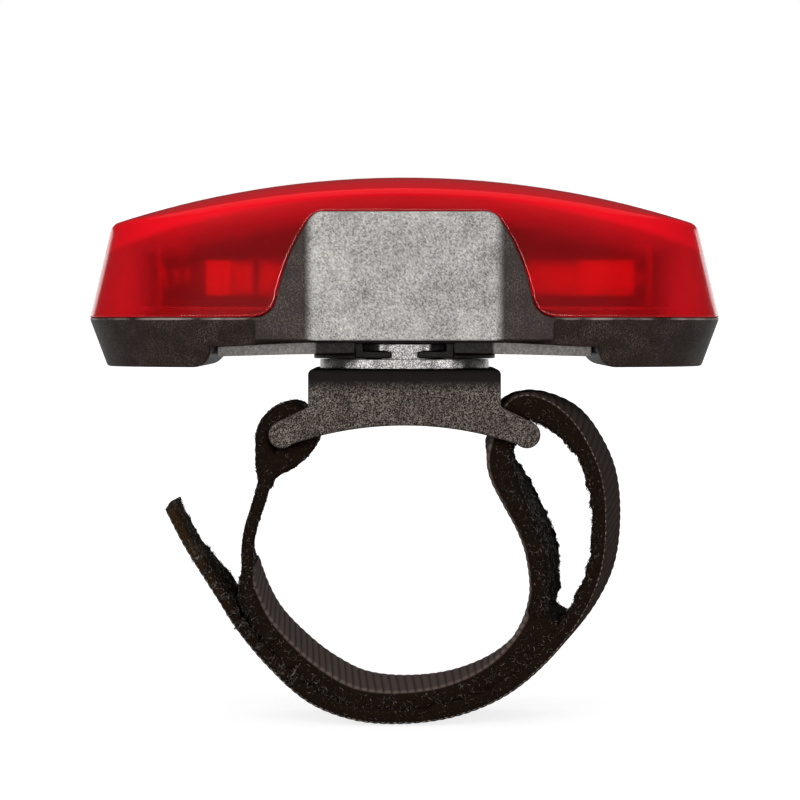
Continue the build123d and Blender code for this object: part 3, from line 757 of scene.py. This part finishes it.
def leaned(points):
    """The strap isn't square to the bracket. Its far edge drifts to +X, by more the further right the
    tape lies, but a little to -X along the weld, and not at all in the bracket's slots."""
    lean_middle = 1.2 * mm
    lean_slope = 0.06
    weld_lean = -0.6 * mm
    weld_end = -13.5 * mm
    weld_ease = 2.5 * mm
    slot_x = 9.9 * mm
    slot_reach = 2 * mm
    slot_ease = 5 * mm
    x, y, z = points.T
    free = np.clip((np.hypot(np.abs(x) - slot_x, z) - slot_reach) / slot_ease, 0, 1)
    on_weld = np.clip((z - weld_end) / weld_ease + 1, 0, 1) * (x < 0)
    lean = (lean_middle + lean_slope * x) * (1 - on_weld) + weld_lean * on_weld
    shifted = points.copy()
    shifted[:, 0] += lean * free * free * (3 - 2 * free) * (y + tape_width / 2) / tape_width
    return shifted


def tape(route, thickness, pile_side, rag, seed, fill=None, least_pile=0.0, spacing=0.11 * mm):
    """A length of tape: the rounded outline carried along the route, square to it. The woven side
    gets slanted ribs, and the pile side and the edges get rows of bumps up to rag high, drawn out
    across the tape. The pile's share is full on the pile side, nine tenths on the edges and none on
    the woven side. fill thickens or thins the tape along the route, and the woven side stays put."""
    rib_pitch = 0.85 * mm
    rib_slant = 0.1
    rib_height = 0.07 * mm
    rib_fullness = 0.6
    broad_bump = 1.1 * mm
    broad_draw = 0.1
    fine_bump = 0.4 * mm
    fine_draw = 0.3
    line, steps = smooth_line(route, spacing)
    step = np.gradient(line, axis=0)
    along = step / np.linalg.norm(step, axis=1, keepdims=True)
    normal = np.stack([-along[:, 1], along[:, 0]], 1) * pile_side
    place_w, place_v, normal_w, normal_v = section(thickness)
    around = np.cumsum(np.hypot(*np.diff(np.stack([place_w, place_v]), axis=1, append=0)))
    s, q = np.meshgrid(steps, around, indexing="ij")
    pile = np.broadcast_to(np.clip(normal_w * 1.2 + 0.9, least_pile, 1)[None], s.shape)
    rib = np.abs(np.sin(pi * (s + rib_slant * place_v[None]) / rib_pitch)) ** rib_fullness
    broad = unevenness(s, broad_draw * q, broad_bump, seed)
    fine = unevenness(s, fine_draw * q, fine_bump, seed + 1)
    bumps = broad * 0.65 + fine * 0.35
    height = rib_height * (1 - pile) * rib + rag * pile * bumps
    full = np.ones(len(steps)) if fill is None else np.interp(steps / steps[-1], *fill)
    across_w = (place_w[None] + thickness / 2) * full[:, None] - thickness / 2 + height * normal_w[None]
    across_v = place_v[None] + height * normal_v[None]
    outward = np.stack([
        normal[:, :1] * normal_w[None],
        np.broadcast_to(normal_v[None], s.shape),
        normal[:, 1:] * normal_w[None],
    ], -1)
    points = np.stack([
        line[:, :1] + normal[:, :1] * across_w,
        across_v,
        line[:, 1:] + normal[:, 1:] * across_w,
    ], -1)
    return {
        "points": leaned(points.reshape(-1, 3)),
        "size": (len(steps), len(place_w)),
        "pile": pile.ravel(),
        "rib": rib.ravel(),
        "outward": outward.reshape(-1, 3),
        "along": np.repeat(np.stack([along[:, 0], 0 * along[:, 0], along[:, 1]], 1), len(place_w), axis=0),
    }


def tape_piece(name, lengths, material, body):
    """One object from several lengths of tape, with the pile's share and the ribs kept as attributes."""
    parts = [closed_grid(length["points"], *length["size"]) for length in lengths]
    piece = piece_from(name, parts, material, sharp=60)
    for kept in ("pile", "rib"):
        values = np.concatenate([length[kept] for length in lengths]).astype(np.float32)
        piece.data.attributes.new(kept, "FLOAT", "POINT").data.foreach_set("value", values)
    if body:
        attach(piece, body)
    return piece


def ribbons(centres, first, second, thickness):
    """Many thin threads at once: round each thread's line of centres goes a three-sided ring, laid
    along its own first and second directions, and both ends are closed."""
    count, rows = centres.shape[:2]
    angle = np.arange(3) / 3 * 2 * pi
    ring = np.cos(angle)[:, None] * first[:, None, None] + np.sin(angle)[:, None] * second[:, None, None]
    points = (centres[:, :, None] + ring * thickness).reshape(-1, 3)
    start = np.arange(count)[:, None, None] * rows * 3
    row = np.arange(rows - 1)[None, :, None] * 3
    corners = ([0, 1, 2], [1, 2, 0], [4, 5, 3], [3, 4, 5])
    quads = np.stack([start + row + np.array(corner) for corner in corners], -1)
    low = start[:, 0] + np.array([2, 1, 0])
    high = start[:, 0] + (rows - 1) * 3 + np.array([0, 1, 2])
    return points, quads.reshape(-1, 4).tolist() + low.tolist() + high.tolist()


def curls(length, count, span, rise, thickness, seed, first_row=0.0, last_row=1.0, cluster_rows=0):
    """Nylon loops that lie on a tape's pile and edges: each is an arc of five points, parabolic both
    sideways along the surface and away from it, rooted at random where the pile is thick. With
    cluster_rows they stand in clusters that many rows apart, on the near edge and across it."""
    rng = np.random.default_rng(seed)
    row_share = np.repeat(np.linspace(0, 1, length["size"][0]), length["size"][1])
    weight = length["pile"] ** 3 * (row_share >= first_row) * (row_share <= last_row)
    turn_range = 2 * pi
    if cluster_rows:
        row = row_share * (length["size"][0] - 1)
        faces_front = length["outward"][:, 1] < -0.9
        in_cluster = np.sin(2 * pi * row / cluster_rows) > 0.3
        weight = weight * faces_front * in_cluster
        turn_range = 0.7
    spots = rng.choice(len(weight), count, p=weight / weight.sum())
    out = length["outward"][spots]
    along = length["along"][spots]
    across = np.cross(out, along)
    turn = pi / 2 + rng.uniform(-0.5, 0.5, (count, 1)) * turn_range
    chord = along * np.cos(turn) + across * np.sin(turn)
    sideways = np.cross(out, chord)
    reach = span * rng.uniform(0.5, 1.3, (count, 1, 1))
    share = np.linspace(-1, 1, 5)[None, :, None]
    bow = 1 - share**2
    lift = rise * rng.uniform(0.1, 1.0, (count, 1, 1))
    centres = (
        length["points"][spots][:, None]
        + chord[:, None] * share * reach / 2
        + sideways[:, None] * bow * reach * rng.uniform(0.1, 0.5, (count, 1, 1))
        + out[:, None] * bow * lift
    )
    return ribbons(centres, out, sideways, thickness)


def selvedge(length, pitch, thickness, pile_level):
    """The stitches along a tape's near edge: short threads set end to end with a gap, on the corner
    where the pile's share passes that level."""
    stitch_share = 0.62
    rows, columns = length["size"]
    points = length["points"].reshape(rows, columns, 3)
    pile = length["pile"].reshape(rows, columns)[0]
    near = points[0, :, 1] < 0
    column = np.argmin(np.where(near, np.abs(pile - pile_level), np.inf))
    out = length["outward"].reshape(rows, columns, 3)[:, column]
    edge = points[:, column]
    travelled = np.concatenate([[0], np.cumsum(np.linalg.norm(np.diff(edge, axis=0), axis=1))])
    begins = np.arange(pitch, travelled[-1] - pitch, pitch)
    spots = begins[:, None] + np.linspace(0, stitch_share, 4)[None] * pitch
    centres = np.stack([np.interp(spots, travelled, edge[:, axis]) for axis in range(3)], -1)
    row = np.searchsorted(travelled, begins)
    first = out[row]
    second = np.cross(first, length["along"].reshape(rows, columns, 3)[row, column])
    return ribbons(centres, first, second, thickness)


def tape_finish(name, dark, light, fleck_colour, end_colour, rib_colour):
    """Nylon tape: dull pile with pale specks of broken loops, and a woven back with painted shade in the
    grooves between its ribs. Towards its free end the tape takes another colour."""
    end_from = -17 * mm
    end_full = -22 * mm
    groove_shade_colour = (0.01, 0.006, 0.004)
    material, tree, shader = new_finish(name)
    where = place(tree)
    pile = add(tree, "ShaderNodeAttribute", attribute_name="pile").outputs["Fac"]
    rib = add(tree, "ShaderNodeAttribute", attribute_name="rib").outputs["Fac"]
    lint = specks(tree, where, 0.14 * mm, 2.0, 0.8)
    tangle = specks(tree, where, 0.5 * mm, 4.0, 0.7)
    fleck = remap(tree, lint, 0.66, 0.76)
    thick = remap(tree, tangle, 0.42, 0.62)
    near_end = remap(tree, axis_part(tree, "X"), end_full, end_from, 1.0, 0.0)
    shaded = between(tree, tangle, dark, between(tree, near_end, light, end_colour))
    speckled = between(tree, sums(tree, "MULTIPLY", fleck, thick), shaded, fleck_colour)
    yarn = specks(tree, where, 0.16 * mm, 2.0, 0.7)
    # Painted shade in the grooves between the ribs, and painted light on the ribs' tops.
    lit_rib = sums(tree, "MULTIPLY", remap(tree, rib, 0.25, 0.95), remap(tree, yarn, 0.3, 0.7, 0.6, 1.0))
    woven = between(tree, remap(tree, lit_rib, 0.0, 1.0, 0.3, 1.0), groove_shade_colour, rib_colour)
    feed(tree, shader, {
        "Base Color": between(tree, remap(tree, pile, 0.02, 0.25), woven, speckled),
        "Roughness": 0.85,
        "Specular IOR Level": 0.06,
        "Normal": relief(tree, sums(tree, "ADD", tangle, lint), 0.08 * mm),
    })
    return material


def thread_finish(name, dark, light, roughness, pale_from):
    """Loose nylon threads, dark with pale stretches where they catch the light."""
    pale_span = 0.2
    material, tree, shader = new_finish(name)
    mix = specks(tree, place(tree), 0.3 * mm, 3.0, 0.8)
    feed(tree, shader, {
        "Base Color": between(tree, remap(tree, mix, pale_from, pale_from + pale_span), dark, light),
        "Roughness": roughness,
        "Specular IOR Level": 0.4,
    })
    return material


over_bar_route = [
    (-14.0, -6.6), (-14.5, -4.6), (-14.6, -2.6), (-14.5, -0.9), (-13.8, 0.55), (-12.5, 1.4),
    (-11.3, 1.55), (-10.3, 0.8), (-9.7, -0.9),
]
under_bar_route = [
    (-9.5, -0.6), (-9.95, -2.2), (-11.3, -3.55), (-12.6, -4.3), (-13.6, -4.95), (-14.5, -6.2), (-15.1, -7.9),
]
weld_route = [(-14.35, -5.0), (-14.5, -6.6), (-15.4, -9.5), (-16.05, -12.0), (-16.15, -15.0)]
inner_route = [
    (-16.25, -14.5), (-16.1, -16.6), (-14.35, -20.3), (-11.4, -23.6), (-8.4, -26.0), (-5.0, -27.7),
    (-0.45, -28.15), (4.5, -27.4), (9.0, -25.2), (12.2, -21.6), (13.6, -17.6), (13.3, -13.5),
    (12.3, -10.5), (10.85, -7.8), (9.65, -5.4), (9.3, -3.4), (9.8, -1.3),
]
outer_route = [
    (9.95, -1.0), (10.4, 0.6), (11.4, 2.15), (13.2, 2.45), (15.6, 1.2), (17.6, -1.1), (19.4, -5.0),
    (19.95, -9.5), (19.5, -14.6), (17.9, -18.6), (15.3, -22.3), (12.0, -25.6), (8.6, -27.8),
    (4.3, -29.3), (-0.45, -29.85), (-5.0, -29.5), (-9.4, -27.8), (-13.2, -24.5), (-16.4, -20.7),
    (-18.45, -17.5), (-20.1, -14.9), (-22.0, -11.8), (-23.8, -8.3),
]
soot = (0.004, 0.002, 0.0012)
rust = (0.016, 0.008, 0.004)
pile_tape = tape_finish("pile tape", soot, rust, (0.42, 0.35, 0.3), rust, (0.16, 0.118, 0.105))
hook_tape = tape_finish("hook tape", soot, rust, (0.4, 0.33, 0.27), (0.05, 0.026, 0.01), (0.06, 0.04, 0.032))
loop_thread = thread_finish("pile threads", (0.006, 0.003, 0.002), (0.42, 0.36, 0.32), 0.6, 0.5)
hook_thread = thread_finish("hook threads", (0.012, 0.007, 0.004), (0.46, 0.39, 0.32), 0.3, 0.52)
stitch_thread = thread_finish("edge stitches", (0.05, 0.036, 0.03), (0.34, 0.29, 0.25), 0.6, 0.4)

# The loop's outer side keeps its line, and the folded pile fills it up to the bar. Each fill gives
# shares of the way along the tape, then the share of its thickness that the tape has there.
over_bar_fill = (
    (0, 0.14, 0.24, 0.32, 0.42, 0.52, 0.66, 0.8, 1),
    (0.8, 1.75, 1.8, 1.25, 0.98, 1.1, 1.5, 1.35, 1.0),
)
under_bar_fill = ((0, 0.25, 0.45, 0.6, 0.8, 1), (1.0, 1.35, 1.95, 1.5, 0.8, 0.4))
anchor_lengths = [
    tape(over_bar_route, 1.35 * mm, -1, 0.1 * mm, 11, over_bar_fill, least_pile=1.0),
    tape(under_bar_route, 1.35 * mm, -1, 0.1 * mm, 12, under_bar_fill, least_pile=1.0),
    tape(weld_route, 1.15 * mm, 1, 0.07 * mm, 13, least_pile=1.0),
]
anchor = tape_piece("anchor_loop", anchor_lengths, pile_tape, "mount")
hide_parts("strap_anchor_loop")

# Above the crotch on the right the two tapes part; below it the crushed pile fills all between them.
inner_fill = (
    (0, 0.035, 0.08, 0.3, 0.45, 0.5, 0.55, 0.6, 0.63, 0.672, 0.682, 0.76, 0.86, 0.93, 1),
    (0.55, 1.1, 1.3, 1.3, 1.1, 1.2, 1.35, 1.8, 2.06, 2.45, 1.05, 1.1, 1.2, 1.5, 1.5),
)
inner_length = tape(inner_route, 1.7 * mm, -1, 0.34 * mm, 21, inner_fill)
inner = tape_piece("inner_tape", [inner_length], pile_tape, "mount")
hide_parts("strap_inner_run")

outer_fill = ((0, 0.03, 0.06, 0.1, 0.15, 0.24, 0.75, 0.85, 1), (1, 1.5, 1.75, 1.6, 1.2, 1, 1, 0.7, 0.62))
outer_length = tape(outer_route, 1.6 * mm, -1, 0.3 * mm, 31, outer_fill, spacing=0.12 * mm)
outer = tape_piece("outer_tape", [outer_length], hook_tape, None)
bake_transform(outer)
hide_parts("strap_outer_run", "strap_tail")

# Pile, hooks and stitches. Fine nylon loops lie on the pile and its cut edges; the hook side has
# stiffer, glossier ones. A row of stitches holds the hook tape's near edge.
pile = piece_from("pile_threads", [
    curls(inner_length, 4200, 0.6 * mm, 0.14 * mm, 0.036 * mm, 41),
    curls(anchor_lengths[0], 900, 0.5 * mm, 0.12 * mm, 0.026 * mm, 42),
    curls(anchor_lengths[1], 500, 0.5 * mm, 0.12 * mm, 0.026 * mm, 43),
    curls(anchor_lengths[2], 600, 0.45 * mm, 0.1 * mm, 0.026 * mm, 44),
], loop_thread, sharp=180)
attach(pile, "mount")

hooks = piece_from("hook_threads", [
    curls(outer_length, 3800, 0.5 * mm, 0.14 * mm, 0.032 * mm, 51, last_row=0.8),
    curls(outer_length, 800, 0.6 * mm, 0.14 * mm, 0.03 * mm, 52, first_row=0.8),
    curls(outer_length, 90, 0.9 * mm, 0.16 * mm, 0.05 * mm, 53, 0.74, 0.96, cluster_rows=13),
], hook_thread, sharp=180)
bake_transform(hooks)

stitch_row = selvedge(outer_length, 0.6 * mm, 0.05 * mm, 0.2)
stitches = piece_from("edge_stitches", [stitch_row], stitch_thread, sharp=180)
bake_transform(stitches)


# Stage. A pale sheet runs under the light and curves up into a low wall behind it. A long soft lamp
# above the front lights it and a wide one hangs above. Three thin low ones, in front and at both
# sides, shine in the metal, and two small ones behind draw the rims.
def sweep_finish():
    """White paper that gives out light for some rays only. The camera and the lens see it white at
    the back and a little dimmer on the floor, mirror images see about a third of it at the back
    and nothing of the floor, and it lights no piece."""
    back_from = 0.1
    back_full = 0.4
    floor_strength = 0.82
    mirror_share = 0.35
    material, tree, shader = new_finish("white sweep")
    rays = add(tree, "ShaderNodeLightPath")
    seen = sums(tree, "MAXIMUM", rays.outputs["Is Camera Ray"], rays.outputs["Is Transmission Ray"])
    behind = remap(tree, axis_part(tree, "Y"), back_from, back_full)
    mirror_part = sums(tree, "MULTIPLY", behind, mirror_share)
    mirrored = sums(tree, "MULTIPLY", rays.outputs["Is Glossy Ray"], mirror_part)
    strength = remap(tree, behind, 0, 1, floor_strength, 1.0)
    paper = specks(tree, place(tree), 20 * mm)
    feed(tree, shader, {
        "Base Color": between(tree, paper, (0.4, 0.4, 0.4), (0.42, 0.42, 0.42)),
        "Roughness": 0.9,
        "Specular IOR Level": 0.1,
        "Emission Color": (1, 1, 1, 1),
        "Emission Strength": sums(tree, "MULTIPLY", sums(tree, "MAXIMUM", seen, mirrored), strength),
    })
    return material


def sweep():
    """Floor, a quarter circle and a low wall: a profile in Y and Z carried straight along X."""
    floor_level = packed_low.z - 0.3 * mm
    bend = 0.04
    front = -0.8
    back = 0.7
    wall_top = 0.05
    half_width = 1.4
    angle = np.linspace(0, pi / 2, 24)
    profile = np.concatenate([
        [(front, floor_level)],
        np.stack([back + bend * np.sin(angle), floor_level + bend * (1 - np.cos(angle))], 1),
        [(back + bend, wall_top)],
    ])
    rows = len(profile)
    points = np.array([(x, y, z) for x in (-half_width, half_width) for y, z in profile])
    faces = [[row, row + 1, rows + row + 1, rows + row][::-1] for row in range(rows - 1)]
    return points, faces


backdrop = piece_from("backdrop", [sweep()], sweep_finish(), sharp=180)


def lamp(name, spot, width, height, watts, aim=(0, 0, 0.01)):
    """A rectangular soft lamp that faces the point it is aimed at."""
    light = bpy.data.lights.new(name, "AREA")
    light.shape = "RECTANGLE"
    light.size = width
    light.size_y = height
    light.energy = watts
    fitting = bpy.data.objects.new(name, light)
    fitting.location = spot
    fitting.rotation_euler = (Vector(aim) - Vector(spot)).to_track_quat("-Z", "Y").to_euler()
    bpy.context.scene.collection.objects.link(fitting)
    return fitting


both_sides = (("left", -1), ("right", 1))
lamp("front_softbox", (-0.04, -0.56, 0.226), 1.1, 0.04, 3.5)
lamp("low_softbox", (0, -0.62, 0.01), 0.9, 0.06, 0.42)
for side_name, side in both_sides:
    lamp(side_name + "_low_softbox", (side * 0.54, -0.28, 0.01), 0.5, 0.06, 0.26)
lamp("top_softbox", (0, 0.05, 0.7), 1.2, 1.0, 2.9, aim=(0, 0, 0))
for side_name, side in both_sides:
    lamp(side_name + "_rim_softbox", (side * 0.27, 0.66, 0.06), 0.3, 0.1, 0.14)

# The room is white to the camera and through the lens, and only a dim fill to all other rays.
fill_strength = 0.05
world = bpy.data.worlds.new("room")
world.use_nodes = True
bpy.context.scene.world = world
room = world.node_tree
rays = add(room, "ShaderNodeLightPath")
seen = sums(room, "MAXIMUM", rays.outputs["Is Camera Ray"], rays.outputs["Is Transmission Ray"])
room_strength = remap(room, seen, 0, 1, fill_strength, 1.0)
feed(room, room.nodes["Background"], {"Color": (1, 1, 1, 1), "Strength": room_strength})


# Camera. It stands level in front of the light, a little above its floor, with a long lens. The
# picture is shifted on the sensor instead of the camera being tilted, so upright edges stay upright.
view_distance = 340 * mm
view_level = 10.3 * mm
view_width = 84 * mm
frame_drop = 7.9 * mm
frame_side = 0.47 * mm
sensor_width = 36
camera_data = bpy.data.cameras.new("camera")
camera_data.sensor_width = sensor_width
camera_data.lens = sensor_width * view_distance / view_width
camera_data.shift_x = -frame_side / view_width
camera_data.shift_y = -frame_drop / view_width
camera_data.clip_start = 0.01
camera = bpy.data.objects.new("camera", camera_data)
camera.location = (0, -view_distance, view_level)
camera.rotation_euler = (pi / 2, 0, 0)
bpy.context.scene.collection.objects.link(camera)
bpy.context.scene.camera = camera
bpy.context.scene.view_settings.view_transform = "Standard"
